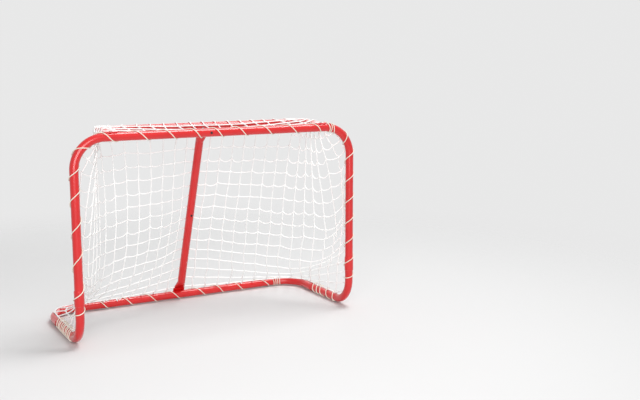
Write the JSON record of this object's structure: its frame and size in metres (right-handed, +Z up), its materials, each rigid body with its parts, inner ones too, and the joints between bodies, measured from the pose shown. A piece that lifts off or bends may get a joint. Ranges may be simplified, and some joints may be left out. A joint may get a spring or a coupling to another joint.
{
  "type": "hockey goal net",
  "caption": "Knock-down floor hockey goal of bent painted steel tube with a rear strut, a knotted net laced to the tubes with cord, and snap buttons that lock the tube joints.",
  "frame": {"origin": "centre of the bounding box at ground level, under the goal", "axes": "+X along the crossbar to the right of someone who faces the mouth, +Y from the mouth to the back of the net, +Z up"},
  "size_m": [0.9106, 0.4174, 0.6133],
  "materials": {
    "red_paint": "glossy powder coat over steel tube",
    "zinc_steel": "zinc plated steel",
    "spring_steel": "dark spring steel",
    "net_twine": "white knotted polyethylene twine",
    "lacing_cord": "cream twisted cord"
  },
  "bodies": {
    "frame": {"front_left": "red_paint", "front_right": "red_paint", "crossbar_spring": "spring_steel", "base_elbow_left": "red_paint", "base_elbow_right": "red_paint", "rear_left": "red_paint", "rear_right": "red_paint", "top_left": "red_paint", "top_right": "red_paint", "arm_screws": "zinc_steel", "brace_lower": "red_paint", "brace_upper": "red_paint", "brace_spring": "spring_steel", "brace_screws": "zinc_steel", "net_back": "net_twine", "net_top": "net_twine", "net_left": "net_twine", "net_right": "net_twine", "front_lacing": "lacing_cord", "rear_lacing": "lacing_cord", "rail_lacing_left": "lacing_cord", "rail_lacing_right": "lacing_cord"},
    "crossbar_button": {"crossbar_button": "zinc_steel"},
    "brace_button": {"brace_button": "zinc_steel"}
  },
  "joints": [
    {"name": "crossbar_button_press", "type": "slide", "parent": "frame", "child": "crossbar_button", "axis": [0, 1, 0], "range_m": [0, 0.004], "stiffness_N_per_m": 1500, "deforming": ["crossbar_spring"]},
    {"name": "brace_button_press", "type": "slide", "parent": "frame", "child": "brace_button", "axis": [0, 0.9352, 0.3541], "range_m": [0, 0.004], "stiffness_N_per_m": 1500, "deforming": ["brace_spring"]}
  ]
}
